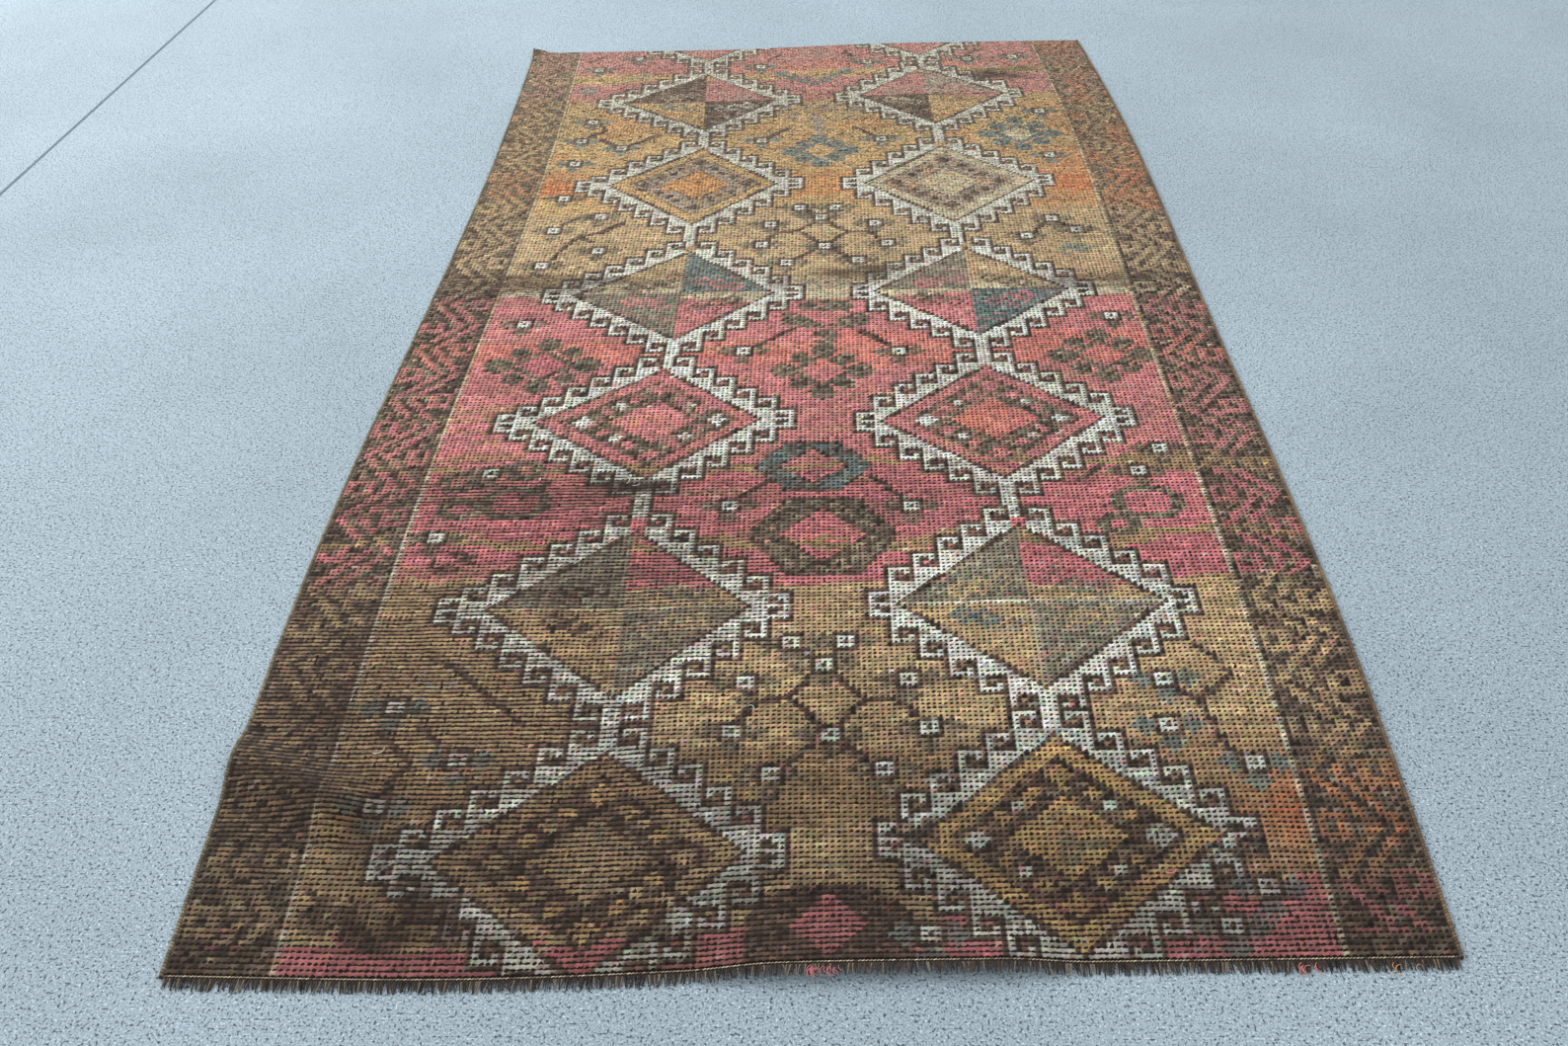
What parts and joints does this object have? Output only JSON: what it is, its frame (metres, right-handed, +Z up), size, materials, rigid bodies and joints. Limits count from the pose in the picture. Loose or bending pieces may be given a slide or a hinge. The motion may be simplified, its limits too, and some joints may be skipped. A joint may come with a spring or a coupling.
{
  "type": "hand-knotted rug",
  "caption": "Worn hand-knotted wool area rug with a hooked-diamond field, laid on a floor, its ends stitched and fringed.",
  "frame": {"origin": "on the underside, at the middle of the flat rug, on the floor", "axes": "+X across the rug, +Y along it from the front end to the back end, +Z up from the floor"},
  "size_m": [1.2285, 2.2323, 0.0169],
  "materials": {
    "ground_wool": "dry brown handspun wool, woven",
    "field_pile": "worn wool knots in camel, rose, orange, ivory and dark brown",
    "border_pile": "worn wool knots in dark olive brown with a vine in the field's colours",
    "guard_pile": "worn ivory wool knots",
    "selvedge_yarn": "overcast greenish brown wool yarn",
    "stitching_thread": "light beige thread",
    "fringe_wool": "dark brown warp ends"
  },
  "bodies": {
    "root": {"ground_weave": "ground_wool", "field_pile": "field_pile", "left_guard_stripe": "guard_pile", "right_guard_stripe": "guard_pile", "left_border_pile": "border_pile", "right_border_pile": "border_pile", "left_selvedge_wrap": "selvedge_yarn", "right_selvedge_wrap": "selvedge_yarn", "left_selvedge_core": "ground_wool", "right_selvedge_core": "ground_wool", "front_end_stitching": "stitching_thread", "back_end_stitching": "stitching_thread", "front_fringe": "fringe_wool", "back_fringe": "fringe_wool"}
  },
  "joints": []
}
